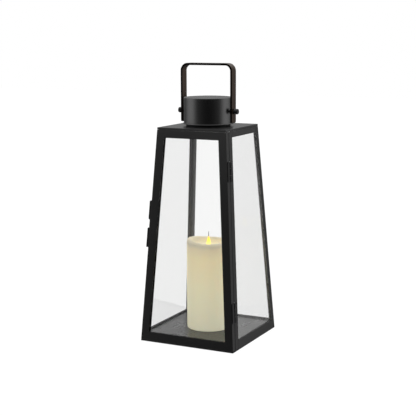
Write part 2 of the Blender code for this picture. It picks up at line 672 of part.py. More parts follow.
def make_flame():
    """A flat flame-shaped lens on a round stem, with a short wick on its tip."""
    bulb_bottom = CANDLE_HEIGHT - CANDLE_BOWL_DEPTH + GAP
    bulb_height = FLAME_TIP - bulb_bottom
    flat_top = 1.0 * MM
    profile = [(0, FLAME_TIP), (flat_top, FLAME_TIP)]
    for part in (0.82, 0.64, 0.46, 0.3, 0.16, 0.06):
        swell = math.sin(math.pi * (1 - part) ** 1.35) ** 0.75
        profile.append((max(FLAME_RADIUS * swell, flat_top), bulb_bottom + part * bulb_height))
    profile += [(FLAME_STEM_RADIUS * 0.6, bulb_bottom), (FLAME_STEM_RADIUS * 0.6, FLAME_STEM_BOTTOM),
                (0, FLAME_STEM_BOTTOM)]
    turned("flame_lens", profile, 24, FLAME, at_candle() @ Matrix.Diagonal((1, 0.62, 1, 1)))
    rod("candle_wick", WICK_RADIUS, (0, 0, FLAME_TIP + GAP), (0, 0, WICK_TIP), WICK, 12, at_candle())


def make_core():
    """The plastic battery case that is pushed into the wax from below, with its cap and post."""
    case_profile = [(CORE_RADIUS, CORE_TOP), (CORE_RADIUS, CORE_FLANGE_TOP),
                    (CORE_FLANGE_RADIUS, CORE_FLANGE_TOP), (CORE_FLANGE_RADIUS, CORE_FLANGE_BOTTOM),
                    (COVER_HOLE, CORE_FLANGE_BOTTOM), (COVER_HOLE, CORE_FLANGE_TOP),
                    (CORE_BORE, CORE_FLANGE_TOP), (CORE_BORE, CORE_TOP)]
    case = turned("battery_case", case_profile, 48, WHITE_PLASTIC, at_candle(), closed=True)
    lug_slot = COVER_LUG_HALF_WIDTH + 0.5 * MM
    slot_turn = at_candle() @ Matrix.Rotation(COVER_TWIST, 4, "Z")
    lug_slots = box("lug_slots", (-lug_slot, lug_slot), (-CORE_BORE, CORE_BORE),
                    (0, CORE_FLANGE_TOP + 1 * MM), frame=slot_turn)
    switch_slot = box("switch_slot", (-SWITCH_TRAVEL - 0.5 * MM, SWITCH_TRAVEL + 0.5 * MM),
                      (-SWITCH_OFFSET - 1.4 * MM, -SWITCH_OFFSET + 1.4 * MM), (0, 2 * CORE_FLANGE_TOP),
                      frame=at_candle())
    cut(case, lug_slots, switch_slot)

    cap_bottom = CORE_TOP + GAP
    cap_top = cap_bottom + CORE_CAP_THICKNESS
    cap = turned("case_cap", [(CORE_POST_RADIUS, CORE_POST_TOP), (CORE_POST_RADIUS, cap_top),
                              (CORE_RADIUS, cap_top), (CORE_RADIUS, cap_bottom),
                              (CORE_POST_BORE, cap_bottom), (CORE_POST_BORE, CORE_POST_TOP)],
                 48, WHITE_PLASTIC, at_candle(), closed=True)
    screw_radius = (CORE_RADIUS + CORE_BORE) / 2
    for i in range(3):
        turn = at_candle() @ Matrix.Rotation(math.radians(120 * i + 30), 4, "Z")
        place = turn @ Matrix.Translation((screw_radius, 0, 0))
        hole = rod("case_screw_hole_%d" % (i + 1), SCREW_RADIUS + GAP, (0, 0, CORE_TOP - SCREW_LENGTH),
                   (0, 0, cap_top + 1 * MM), segments=12, frame=place)
        cut(case, hole)
        cut(cap, hole)
        seat = cap_top + GAP
        head_top = seat + 1 * MM
        screw_profile = [(0, head_top), (SCREW_HEAD_RADIUS, head_top), (SCREW_HEAD_RADIUS, seat),
                         (SCREW_RADIUS, seat), (SCREW_RADIUS, seat - SCREW_LENGTH),
                         (0, seat - SCREW_LENGTH)]
        turned("case_screw_%d" % (i + 1), screw_profile, 12, BRIGHT_STEEL, place)


def make_battery_parts():
    """Two cells side by side, the plate that links their tops, and a twist-off base cover
    with a spring under each cell."""
    nub_top = BATTERY_TOP + 1.4 * MM
    nub_radius = 2.7 * MM
    profile = [(0, nub_top), (nub_radius, nub_top), (nub_radius, BATTERY_TOP),
               (BATTERY_RADIUS, BATTERY_TOP), (BATTERY_RADIUS, BATTERY_BOTTOM), (0, BATTERY_BOTTOM)]
    for name, side in (("left", -1), ("right", 1)):
        place = at_candle() @ Matrix.Translation((side * BATTERY_OFFSET, 0, 0))
        turned("battery_" + name, profile, 24, BATTERY_WRAP, place)
    box("contact_plate", (-13 * MM, 13 * MM), (-4 * MM, 4 * MM), (nub_top + GAP, CORE_TOP),
        BRIGHT_STEEL, at_candle())

    cover = rod("battery_cover", COVER_RADIUS, (0, 0, CORE_FLANGE_BOTTOM),
                (0, 0, CORE_FLANGE_TOP + 2 * GAP), BLACK_PLASTIC, 48, at_candle())
    lugs = box("cover_lugs", (-COVER_LUG_HALF_WIDTH, COVER_LUG_HALF_WIDTH),
               (-COVER_LUG_REACH, COVER_LUG_REACH),
               (CORE_FLANGE_TOP + GAP, CORE_FLANGE_TOP + GAP + 1.2 * MM), frame=at_candle())
    coin_slot = box("coin_slot", (-7 * MM, 7 * MM), (-1 * MM, 1 * MM), (0, CORE_FLANGE_BOTTOM + 0.8 * MM),
                    frame=at_candle())
    unite(cover, lugs)
    cut(cover, coin_slot)
    spring_bottom = CORE_FLANGE_TOP + GAP + 1.2 * MM + GAP + SPRING_WIRE
    for name, side in (("left", -1), ("right", 1)):
        make_spring("battery_spring_" + name, side * BATTERY_OFFSET, spring_bottom)


def make_spring(name, x, bottom):
    turns = 3
    per_turn = 10
    height = BATTERY_BOTTOM - GAP - SPRING_WIRE - bottom
    curve = bpy.data.curves.new(name, "CURVE")
    curve.dimensions = "3D"
    curve.bevel_depth = SPRING_WIRE
    curve.bevel_resolution = 1
    curve.use_fill_caps = True
    spline = curve.splines.new("POLY")
    spline.points.add(turns * per_turn)
    for i, point in enumerate(spline.points):
        part = i / (turns * per_turn)
        angle = 2 * math.pi * turns * part
        radius = SPRING_RADIUS * (1 - 0.35 * part)
        point.co = (x + radius * math.cos(angle), radius * math.sin(angle), bottom + part * height, 1)
    curve.materials.append(BRIGHT_STEEL)
    spring = bpy.data.objects.new(name, curve)
    spring.matrix_world = at_candle()
    PARTS.objects.link(spring)


def make_lamp_and_switch():
    """The lamp on its round board inside the post, and the slide switch in the case's flange."""
    board = (CORE_POST_TOP - 21 * MM, CORE_POST_TOP - 19.4 * MM)
    rod("lamp_board", CORE_POST_BORE - 2 * GAP, (0, 0, board[0]), (0, 0, board[1]), BLACK_PLASTIC,
        24, at_candle())
    lamp_radius = 2.4 * MM
    lamp_bottom = board[1] + GAP
    lamp_top = FLAME_STEM_BOTTOM - 2 * GAP
    profile = arc((0, lamp_top - lamp_radius), lamp_radius, 90, 0, 5)
    profile += [(lamp_radius, lamp_bottom), (0, lamp_bottom)]
    turned("led_lamp", profile, 16, WHITE_PLASTIC, at_candle())

    slider_middle = -SWITCH_TRAVEL / 2
    half_stem = SWITCH_TRAVEL / 2
    stem_half_depth = 1.1 * MM
    slider = box("switch_slider", (slider_middle - half_stem, slider_middle + half_stem),
                 (-SWITCH_OFFSET - stem_half_depth, -SWITCH_OFFSET + stem_half_depth),
                 (CORE_FLANGE_BOTTOM - 2 * GAP, CORE_FLANGE_TOP + 1 * MM), BLACK_PLASTIC, at_candle())
    unite(slider, box("slider_head", (slider_middle - 2.4 * MM, slider_middle + 2.4 * MM),
                      (-SWITCH_OFFSET - 2 * MM, -SWITCH_OFFSET + 2 * MM),
                      (CORE_FLANGE_TOP + GAP, CORE_FLANGE_TOP + 1.5 * MM), frame=at_candle()))


make_base()
front_posts = make_posts()
make_top_rails()
make_panes()
make_roof()
make_cap()
make_pivots()
make_handle()
make_hinges(make_door(), front_posts["right"])
make_latch()
make_wax()
make_flame()
make_core()
make_battery_parts()
make_lamp_and_switch()
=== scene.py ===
"""Looks of the hurricane candle lantern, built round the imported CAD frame.

The sheet metal, panes, hinges and latch are redrawn from their CAD nodes with rounded edges. The
cap, knobs, strap, candle, flame and wick are drawn afresh at a finer grain, in the same places.
The other small pieces keep their CAD shapes and get their materials here.
"""
import json
import math

import bmesh
import bpy
from mathutils import Matrix, Vector, noise


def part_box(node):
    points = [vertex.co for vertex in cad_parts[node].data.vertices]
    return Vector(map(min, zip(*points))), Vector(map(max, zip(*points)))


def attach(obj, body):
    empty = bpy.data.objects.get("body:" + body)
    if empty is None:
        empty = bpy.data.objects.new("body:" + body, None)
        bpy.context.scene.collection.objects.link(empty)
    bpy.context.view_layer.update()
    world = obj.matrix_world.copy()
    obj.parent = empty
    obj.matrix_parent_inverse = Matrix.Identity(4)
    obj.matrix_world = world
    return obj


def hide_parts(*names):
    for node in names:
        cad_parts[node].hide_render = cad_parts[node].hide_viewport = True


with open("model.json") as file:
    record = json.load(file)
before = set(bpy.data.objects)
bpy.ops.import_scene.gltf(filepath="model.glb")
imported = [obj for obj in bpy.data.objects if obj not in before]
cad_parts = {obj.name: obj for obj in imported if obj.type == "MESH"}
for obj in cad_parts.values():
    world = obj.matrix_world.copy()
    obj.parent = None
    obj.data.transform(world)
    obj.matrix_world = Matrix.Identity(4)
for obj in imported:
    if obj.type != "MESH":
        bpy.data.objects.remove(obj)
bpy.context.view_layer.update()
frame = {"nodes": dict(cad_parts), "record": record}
NODES = frame["nodes"]
MM = 0.001

# Camera, in metres and degrees. Azimuth 0 looks straight at the door.
VIEW_AZIMUTH = 26.606
VIEW_ELEVATION = 9.67
VIEW_ROLL = -0.242
VIEW_DISTANCE = 1.853
VIEW_AIM_HEIGHT = 0.225
VIEW_AIM_SIDE = -0.0011
LENS = 92.62
SENSOR = 36.0

# The studio's light as (place, grey) stops, from behind the lantern (0) to behind the camera (1)
STUDIO_STRENGTH = 2.5
ABOVE_HORIZON = [(0.0, 0.13), (0.2, 0.11), (0.34, 0.36), (0.5, 0.50), (0.62, 0.46), (0.71, 0.24),
                 (0.8, 0.10), (0.91, 0.05), (0.96, 0.03), (1.0, 0.015)]
BELOW_HORIZON = [(0.0, 0.02), (0.14, 0.04), (0.2, 0.11), (0.34, 0.36), (0.5, 0.50), (0.62, 0.46),
                 (0.71, 0.22), (0.8, 0.06), (0.91, 0.04), (0.96, 0.02), (1.0, 0.01)]
OVERHEAD = (0.52, 0.52, 0.52, 1.0)
HORIZON_BAND = (-0.14, 0.06)
OVERHEAD_BAND = (0.25, 0.6)

# The white table
FLOOR_SIZE = 12
FLOOR_DROP = 0.2 * MM
FLOOR_GLOW = 0.96

# Painted light on the paint: lighter with height and towards +X
PAINTED_LIGHT_HEIGHT = 0.4
PAINTED_LIGHT_SLANT = 0.5

# Rounding of edges
SHEET_EDGE = 0.35 * MM
FLOOR_PAN_EDGE = 0.3 * MM
PANE_EDGE = 0.25 * MM
NECK_EDGE = 0.2 * MM
FINE_EDGE = 0.18 * MM
STRAP_EDGE = 0.35 * MM

# The drawn door stands this much higher, so that the gap above it is a fine line
DOOR_RAISE = 0.8 * MM

# The handle: the strap's section and bend, and the holes for its studs
STRAP_THICKNESS = 3.6 * MM
STRAP_BEND = 13 * MM
STRAP_FOOT_ROUND = 3 * MM
STRAP_LEG_LINE = 30 * MM
STUD_HOLE = 2.3 * MM

# The candle, downwards from its rim
RIM_ROUND = 4.2 * MM
BOWL_DEPTH = 9.4 * MM
WICK_BORE = 6.6 * MM
CAVITY_RADIUS = 33 * MM
CAVITY_HEIGHT = 132 * MM
CANDLE_FOOT_ROUND = 1.2 * MM
UNEVEN_DEPTH = 14 * MM
UNEVEN_ABOVE = 140 * MM
RIM_LIFT = 1.3 * MM
RIM_HIGH_LIFT = 4.2 * MM
RIM_HIGH_SIDE = Vector((-0.94, -0.34, 0))

FINE = ("hinge_leaf_body_upper", "hinge_leaf_body_lower", "hinge_leaf_door_upper",
        "hinge_leaf_door_lower", "hinge_pin_upper", "hinge_pin_lower", "latch_guide",
        "latch_keeper", "latch_bolt")
OWN_PAINT = ("cap_shell", "vent_neck", "floor_pan", "post_back_left", "post_back_right")


# ---- Node helpers ----

def new_material(name):
    material = bpy.data.materials.new(name)
    material.use_nodes = True
    material.node_tree.nodes.clear()
    return material, material.node_tree


def connect(tree, socket, value):
    """Give a socket its value, or link it where the value is a socket."""
    if isinstance(value, bpy.types.NodeSocket):
        tree.links.new(value, socket)
    else:
        socket.default_value = value


def add_node(tree, kind, **inputs):
    """A node with the given inputs, named with _ for a space."""
    node = tree.nodes.new(kind)
    for key, value in inputs.items():
        connect(tree, node.inputs[key.replace("_", " ")], value)
    return node


def add_math(tree, operation, first, second=0.0):
    node = tree.nodes.new("ShaderNodeMath")
    node.operation = operation
    connect(tree, node.inputs[0], first)
    connect(tree, node.inputs[1], second)
    return node.outputs[0]


def add_vector_math(tree, operation, first, second=(0, 0, 0)):
    node = tree.nodes.new("ShaderNodeVectorMath")
    node.operation = operation
    connect(tree, node.inputs[0], first)
    connect(tree, node.inputs[1], second)
    return node


def add_ramp(tree, factor, stops):
    """A colour ramp from (place, grey or colour) stops."""
    ramp = tree.nodes.new("ShaderNodeValToRGB")
    elements = ramp.color_ramp.elements
    while len(elements) < len(stops):
        elements.new(0.5)
    for element, (place, color) in zip(elements, stops):
        element.position = place
        rgb = color if isinstance(color, tuple) else (color, color, color)
        element.color = (*rgb, 1.0)
    tree.links.new(factor, ramp.inputs["Fac"])
    return ramp.outputs["Color"]


def add_range(tree, value, low, high, start=0.0, end=1.0):
    node = add_node(tree, "ShaderNodeMapRange", Value=value, From_Min=low, From_Max=high,
                    To_Min=start, To_Max=end)
    return node.outputs["Result"]


def add_mix(tree, factor, first, second):
    """A mix of two colours."""
    node = tree.nodes.new("ShaderNodeMix")
    node.data_type = "RGBA"
    connect(tree, node.inputs["Factor"], factor)
    connect(tree, node.inputs[6], first)
    connect(tree, node.inputs[7], second)
    return node.outputs[2]


def add_place(tree, kind="Object"):
    """A point's place on its object, its Normal, or in the world the direction looked in."""
    return tree.nodes.new("ShaderNodeTexCoord").outputs[kind]


def add_noise(tree, scale, detail=3.0, roughness=0.55, stretch=(1, 1, 1)):
    """Noise over the piece's own place, in cells per metre."""
    mapping = add_node(tree, "ShaderNodeMapping", Vector=add_place(tree), Scale=stretch)
    texture = add_node(tree, "ShaderNodeTexNoise", Vector=mapping.outputs["Vector"], Scale=scale,
                       Detail=detail, Roughness=roughness)
    return texture.outputs["Fac"]


def add_bump(tree, height, depth):
    return add_node(tree, "ShaderNodeBump", Height=height, Distance=depth).outputs["Normal"]


def output(tree, surface):
    add_node(tree, "ShaderNodeOutputMaterial", Surface=surface)


def lighter(color, gain):
    return tuple(min(1.0, part * gain + 0.004) for part in color)


# ---- Materials ----

def facing_inside(tree):
    """1 on faces that look at the lantern's axis, and 0 on the others: the mask of a painted
    highlight.
    """
    inward = add_vector_math(tree, "MULTIPLY", add_place(tree), (-1, -1, 0))
    unit = add_vector_math(tree, "NORMALIZE", inward.outputs["Vector"])
    toward = add_vector_math(tree, "DOT_PRODUCT", unit.outputs["Vector"], add_place(tree, "Normal"))
    return add_range(tree, toward.outputs["Value"], 0.2, 0.5)


def coated_metal(name, color, roughness, spread=0.04, gloss=0.5, haze_and_painted_light=None, grain=0.002 * MM,
                 inside=None):
    """Powder coat: an orange-peel grain, soft patches of more and less gloss, faint dust.
    Given (height, grey) stops paint light onto the coat, lighter with height and towards +X.
    A given inside grey is a painted highlight on the faces that look inwards."""
    material, tree = new_material(name)
    patches = add_noise(tree, 28, 4)
    dust = add_noise(tree, 900, 2)
    rough = add_ramp(tree, patches, [(0.3, roughness - spread / 2), (0.7, roughness + spread / 2)])
    tint = add_ramp(tree, dust, [(0.45, color), (0.72, lighter(color, 1.5))])
    # Painted light: the coat is made lighter with height and towards +X.
    if haze_and_painted_light:
        across = add_node(tree, "ShaderNodeSeparateXYZ", Vector=add_place(tree))
        slant = add_math(tree, "MULTIPLY", across.outputs["X"], PAINTED_LIGHT_SLANT)
        along = add_math(tree, "ADD", across.outputs["Z"], slant)
        painted_light_tint = add_ramp(tree, add_range(tree, along, 0, PAINTED_LIGHT_HEIGHT), haze_and_painted_light)
        tint = add_mix(tree, 0.5, tint, painted_light_tint)
    # Painted highlight: faces that look inwards are made grey.
    if inside:
        tint = add_mix(tree, facing_inside(tree), tint, (inside, inside, inside, 1.0))
    shader = add_node(tree, "ShaderNodeBsdfPrincipled", Base_Color=tint, Roughness=rough,
                      Specular_IOR_Level=gloss, Normal=add_bump(tree, dust, grain))
    output(tree, shader.outputs[0])
    return material


def brushed_bronze(name):
    """Dark bronze strap with a fine grain that runs along it. Its narrow faces along Y are painted
    near black, a painted shade.
    """
    material, tree = new_material(name)
    grain = add_noise(tree, 110, 3, 0.5, (1, 4, 0.5))
    facing = add_node(tree, "ShaderNodeSeparateXYZ", Vector=add_place(tree, "Normal"))
    # Painted shade: the narrow faces that look along Y are darkened almost to black.
    edge = add_range(tree, add_math(tree, "ABSOLUTE", facing.outputs["Y"]), 0.3, 0.7)
    bronze = add_ramp(tree, grain, [(0.3, (0.058, 0.038, 0.027)), (0.7, (0.080, 0.055, 0.038))])
    tone = add_mix(tree, edge, bronze, (0.006, 0.004, 0.003, 1.0))
    rough = add_ramp(tree, grain, [(0.3, 0.28), (0.7, 0.40)])
    shader = add_node(tree, "ShaderNodeBsdfPrincipled", Base_Color=tone, Roughness=rough,
                      Metallic=0.9, Normal=add_bump(tree, grain, 0.002 * MM))
    output(tree, shader.outputs[0])
    return material


def bright_steel(name):
    material, tree = new_material(name)
    streaks = add_noise(tree, 700, 4)
    tone = add_ramp(tree, streaks, [(0.3, 0.42), (0.7, 0.62)])
    rough = add_ramp(tree, streaks, [(0.3, 0.22), (0.7, 0.36)])
    shader = add_node(tree, "ShaderNodeBsdfPrincipled", Base_Color=tone, Roughness=rough,
                      Metallic=1.0)
    output(tree, shader.outputs[0])
    return material


def clear_glass(name, tint):
    """Float glass with faint patches of haze, which lets lamps and soft light straight through.
    tint is the share of light that one pane passes."""
    material, tree = new_material(name)
    haze_and_painted_light = add_ramp(tree, add_noise(tree, 14, 3), [(0.4, 0.0), (0.8, 0.02)])
    shader = add_node(tree, "ShaderNodeBsdfPrincipled", Base_Color=(tint, tint * 1.002, tint, 1.0),
                      Roughness=haze_and_painted_light, IOR=1.3, Transmission_Weight=1.0)
    side = math.sqrt(tint)
    clear = add_node(tree, "ShaderNodeBsdfTransparent", Color=(side, side, side, 1.0))
    path = tree.nodes.new("ShaderNodeLightPath").outputs
    through = add_math(tree, "MAXIMUM", path["Is Shadow Ray"], path["Is Diffuse Ray"])
    mix = add_node(tree, "ShaderNodeMixShader", Fac=through)
    tree.links.new(shader.outputs[0], mix.inputs[1])
    tree.links.new(clear.outputs[0], mix.inputs[2])
    output(tree, mix.outputs[0])
    return material


def candle_wax(name, base, top):
    """Ivory wax: scatters light and is faintly mottled. Its colour is painted light and shade by
    height, lighter and warmer up the pillar and darker at the rim and in the bowl, and a weak glow
    is painted over the whole wax."""
    material, tree = new_material(name)
    place = add_node(tree, "ShaderNodeSeparateXYZ", Vector=add_place(tree))
    height = add_range(tree, place.outputs["Z"], base, top)
    mottle = add_math(tree, "SUBTRACT", add_noise(tree, 45, 4), 0.5)
    level = add_math(tree, "ADD", height, add_math(tree, "MULTIPLY", mottle, 0.07))
    # Painted light and shade: lighter and warmer up the pillar, darker over the rim and bowl.
    tone = add_ramp(tree, level, [(0.0, (0.74, 0.72, 0.53)), (0.45, (0.83, 0.79, 0.54)),
                                  (0.85, (0.85, 0.76, 0.48)), (0.95, (0.76, 0.67, 0.45)),
                                  (1.0, (0.60, 0.55, 0.41))])
    bump = add_bump(tree, add_noise(tree, 160, 4), 0.12 * MM)
    # The emission is a painted glow over the whole wax.
    shader = add_node(tree, "ShaderNodeBsdfPrincipled", Base_Color=tone, Roughness=0.46,
                      Normal=bump, IOR=1.44, Emission_Color=tone, Emission_Strength=0.43,
                      Subsurface_Weight=0.5, Subsurface_Radius=(1.0, 0.7, 0.4),
                      Subsurface_Scale=6 * MM)
    output(tree, shader.outputs[0])
    return material


def flame_glow(name, base, tip):
    """A lit lens: pale yellow at its heart, orange at its edge and tip."""
    material, tree = new_material(name)
    place = add_node(tree, "ShaderNodeSeparateXYZ", Vector=add_place(tree))
    height = add_range(tree, place.outputs["Z"], base, tip, 0.0, 0.55)
    facing = add_node(tree, "ShaderNodeLayerWeight", Blend=0.35).outputs["Facing"]
    edge = add_math(tree, "MULTIPLY", facing, 0.9)
    flicker = add_math(tree, "MULTIPLY", add_noise(tree, 400, 2), 0.12)
    level = add_math(tree, "ADD", add_math(tree, "MAXIMUM", edge, height), flicker)
    tone = add_ramp(tree, level, [(0.1, (1.0, 0.95, 0.32)), (0.42, (1.0, 0.83, 0.08)),
                                  (0.66, (1.0, 0.55, 0.06)), (0.95, (0.93, 0.33, 0.08))])
    shader = add_node(tree, "ShaderNodeBsdfPrincipled", Base_Color=tone, Roughness=0.3,
                      Emission_Color=tone, Emission_Strength=0.85)
    output(tree, shader.outputs[0])
    return material


def cord_fibre(name, dark, light):
    material, tree = new_material(name)
    strands = add_noise(tree, 2500, 3, 0.6, (1, 1, 0.3))
    tone = add_ramp(tree, strands, [(0.35, dark), (0.65, light)])
    shader = add_node(tree, "ShaderNodeBsdfPrincipled", Base_Color=tone, Roughness=0.9,
                      Normal=add_bump(tree, strands, 0.1 * MM))
    output(tree, shader.outputs[0])
    return material


def moulded_plastic(name, color, roughness):
    material, tree = new_material(name)
    grain = add_noise(tree, 1800, 2)
    tone = add_ramp(tree, grain, [(0.4, color), (0.7, lighter(color, 1.08))])
    shader = add_node(tree, "ShaderNodeBsdfPrincipled", Base_Color=tone, Roughness=roughness,
                      Normal=add_bump(tree, grain, 0.02 * MM))
    output(tree, shader.outputs[0])
    return material


candle_low, candle_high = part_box("candle_wax")
flame_low, flame_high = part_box("flame_lens")
FLAME_BASE = candle_high.z - 9 * MM
# Its stops paint light onto the black coat, more towards the top and +X.
PAINT = coated_metal("black_powder_coat", (0.002, 0.002, 0.002), 0.23,
                     haze_and_painted_light=[(0.0, 0.001), (0.45, 0.003), (0.7, 0.012), (0.95, 0.046)])
# The back posts' coat: its stops paint less light, and its inward faces get a painted highlight.
BACK_POST_PAINTED_LIGHT = coated_metal("back_post_coat_painted_light", (0.002, 0.002, 0.002), 0.24,
                               haze_and_painted_light=[(0.0, 0.001), (0.45, 0.003), (0.7, 0.008), (0.95, 0.02)],
                               inside=0.2)
CAP_PAINT = coated_metal("cap_powder_coat", (0.0022, 0.0022, 0.0022), 0.26, 0.03, 1.0)
FLOOR_PAINT = coated_metal("floor_powder_coat", (0.006, 0.006, 0.006), 0.28, 0.03, 0.44,
                           grain=0.0005 * MM)
# The neck's coat is a shade darker than the rest, a painted shade under the cap, and rougher.
NECK_SHADED_PAINT = coated_metal("neck_coat_painted_shade", (0.0015, 0.0015, 0.0015), 0.55, 0.04, 0.2)
BLACK_STEEL = coated_metal("black_lacquer", (0.0016, 0.0016, 0.0016), 0.27, gloss=0.32)
GLASS = clear_glass("float_glass", 0.945)
SIDE_GLASS = clear_glass("side_float_glass", 0.865)

SLOT_MATERIALS = {
    "black_paint": PAINT,
    "black_steel": BLACK_STEEL,
    "bright_steel": bright_steel("bright_zinc"),
    "bronze": brushed_bronze("dark_bronze"),
    "clear_glass": GLASS,
    "ivory_wax": candle_wax("ivory_wax", candle_low.z, candle_high.z),
    "flame_lens": flame_glow("flame_glow", FLAME_BASE, flame_high.z),
    "wick_cord": cord_fibre("charred_wick", (0.05, 0.035, 0.03), (0.16, 0.12, 0.10)),
    "white_plastic": moulded_plastic("white_moulding", (0.78, 0.78, 0.75), 0.4),
    "black_plastic": moulded_plastic("black_moulding", (0.02, 0.02, 0.02), 0.42),
    "battery_wrap": moulded_plastic("blue_wrap", (0.04, 0.1, 0.28), 0.3),
}
NODE_SLOTS = {part["node"]: part["material_slot"] for part in frame["record"]["subparts"]}
NODE_BODIES = {node: body for body, nodes in frame["record"]["behaviour"]["bodies"].items()
               for node in nodes}


# ---- Shape helpers ----

def finish_piece(piece, node, sharp=40, material=None):
    """Shade a new piece, and let it stand for its CAD node on that node's body."""
    mesh = piece.data
    mesh.materials.clear()
    mesh.materials.append(material or SLOT_MATERIALS[NODE_SLOTS[node]])
    mesh.shade_smooth()
    mesh.set_sharp_from_angle(angle=math.radians(sharp))
    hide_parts(node)
    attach(piece, NODE_BODIES[node])
    return piece


def object_from(bm, name):
    mesh = bpy.data.meshes.new(name)
    bm.to_mesh(mesh)
    bm.free()
    obj = bpy.data.objects.new(name, mesh)
    bpy.context.scene.collection.objects.link(obj)
    return obj


def sharp_edges(bm, angle):
    """The edges where two faces meet at more than angle degrees."""
    return [edge for edge in bm.edges
            if len(edge.link_faces) == 2 and edge.calc_face_angle(0) > math.radians(angle)]


def refined(node, width, segments=2, corner=30, material=None, taller=0.0):
    """A CAD node with its flat faces whole and its corners rounded. taller raises its top."""
    bm = bmesh.new()
    bm.from_mesh(NODES[node].data)
    bmesh.ops.remove_doubles(bm, verts=bm.verts, dist=0.002 * MM)
    top = max(vertex.co.z for vertex in bm.verts)
    for vertex in bm.verts:
        if vertex.co.z > top - 0.1 * MM:
            vertex.co.z += taller
    bmesh.ops.dissolve_limit(bm, angle_limit=math.radians(0.5), verts=bm.verts, edges=bm.edges)
    bmesh.ops.bevel(bm, geom=sharp_edges(bm, corner), offset=width, segments=segments, profile=0.5,
                    affect="EDGES", clamp_overlap=True)
    piece = object_from(bm, node + "_finish")
    finish_piece(piece, node, 50, material)
    keep_faces_flat(piece)


def keep_faces_flat(piece):
    """Shade large flat faces flat, and only the rounded edges smooth."""
    weighted = piece.modifiers.new("Flat faces", "WEIGHTED_NORMAL")
    weighted.keep_sharp = True


def hide_from_gloss(*pieces):
    """Keep pieces that stand close to the cap out of its reflections."""
    for piece in pieces:
        piece.visible_glossy = False


def apply_modifiers(obj):
    bpy.context.view_layer.update()
    graph = bpy.context.evaluated_depsgraph_get()
    mesh = bpy.data.meshes.new_from_object(obj.evaluated_get(graph))
    obj.modifiers.clear()
    obj.data = mesh


def lathe(name, profile, steps, wobble=None):
    """Turn a profile of (radius, height), closed at the axis, about Z. wobble moves a point."""
    bm = bmesh.new()
    rings = []
    for radius, height in profile:
        if radius < 0.001 * MM:
            rings.append([bm.verts.new((0, 0, height))])
            continue
        ring = []
        for i in range(steps):
            angle = 2 * math.pi * i / steps
            point = Vector((radius * math.cos(angle), radius * math.sin(angle), height))
            ring.append(bm.verts.new(wobble(point) if wobble else point))
        rings.append(ring)
    for upper, lower in zip(rings, rings[1:]):
        for i in range(steps):
            j = (i + 1) % steps
            corners = [upper[i % len(upper)], upper[j % len(upper)],
                       lower[j % len(lower)], lower[i % len(lower)]]
            unique = list(dict.fromkeys(corners))
            if len(unique) > 2:
                bm.faces.new(unique)
    bmesh.ops.recalc_face_normals(bm, faces=bm.faces)
    return object_from(bm, name)


def arc(center, radius, start, end, count):
    angles = [math.radians(start + (end - start) * i / count) for i in range(count + 1)]
    return [(center[0] + radius * math.cos(a), center[1] + radius * math.sin(a)) for a in angles]


# ---- Pieces ----

def make_cap():
    """The spun cap: a flat top with a small radius, straight sides and a rolled lip."""
    low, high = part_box("cap_shell")
    lip = high.x
    radius = lip - 1.5 * MM
    sheet = 1.2 * MM
    edge = 1.1 * MM
    roll = 0.8 * MM
    profile = [(0, high.z), (radius * 0.5, high.z), (radius - 3 * edge, high.z)]
    profile += arc((radius - edge, high.z - edge), edge, 90, 0, 6)
    profile += [(radius, high.z - 4 * edge), (radius, low.z + 2 * roll + 0.1 * MM)]
    profile += arc((lip - roll, low.z + roll), roll, 90, -90, 10)
    profile += [(radius - sheet, low.z), (radius - sheet, high.z - sheet), (0, high.z - sheet)]
    finish_piece(lathe("cap_spun_shell", profile, 144), "cap_shell", 40, CAP_PAINT)


def make_knobs():
    """Round end knobs with a turned groove, on studs through the strap."""
    edge = 1.0 * MM
    back_edge = 0.5 * MM
    groove = ((0, 0.6 * MM), (0.5 * MM, 1.0 * MM), (0.5 * MM, 1.5 * MM), (0, 1.9 * MM))
    bore_floor = 2 * MM
    for side, name in ((-1, "left"), (1, "right")):
        low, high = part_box("pivot_knob_" + name)
        radius = (high.z - low.z) / 2
        top = (high.x - low.x) / 2
        profile = [(0, top), (radius * 0.45, top)]
        profile += arc((radius - edge, top - edge), edge, 80, 0, 5)
        profile += [(radius - depth, -down) for depth, down in groove]
        profile += arc((radius - back_edge, -top + back_edge), back_edge, 0, -90, 3)
        profile += [(STUD_HOLE, -top), (STUD_HOLE, top - bore_floor), (0, top - bore_floor)]
        knob = lathe("knob_" + name, profile, 48)
        turn = Matrix.Rotation(side * math.pi / 2, 4, "Y")
        knob.data.transform(Matrix.Translation((low + high) / 2) @ turn)
        finish_piece(knob, "pivot_knob_" + name, 40)


def strap_line(half_span, top, radius, foot):
    """One side of the strap as (x, z) points, from foot to foot."""
    points = [(-half_span, foot), (-half_span, foot + STRAP_LEG_LINE)]
    points += arc((radius - half_span, top - radius), radius, 180, 90, 20)
    points += arc((half_span - radius, top - radius), radius, 90, 0, 20)
    points += [(half_span, foot + STRAP_LEG_LINE), (half_span, foot)]
    return points


def cut_stud_hole(strap, center):
    bm = bmesh.new()
    place = Matrix.Translation(center) @ Matrix.Rotation(math.pi / 2, 4, "Y")
    bmesh.ops.create_cone(bm, cap_ends=True, segments=40, radius1=STUD_HOLE, radius2=STUD_HOLE,
                          depth=20 * MM, matrix=place)
    cutter = object_from(bm, "strap_hole_cutter")
    hole = strap.modifiers.new("Hole", "BOOLEAN")
    hole.object = cutter
    apply_modifiers(strap)
    bpy.data.objects.remove(cutter)


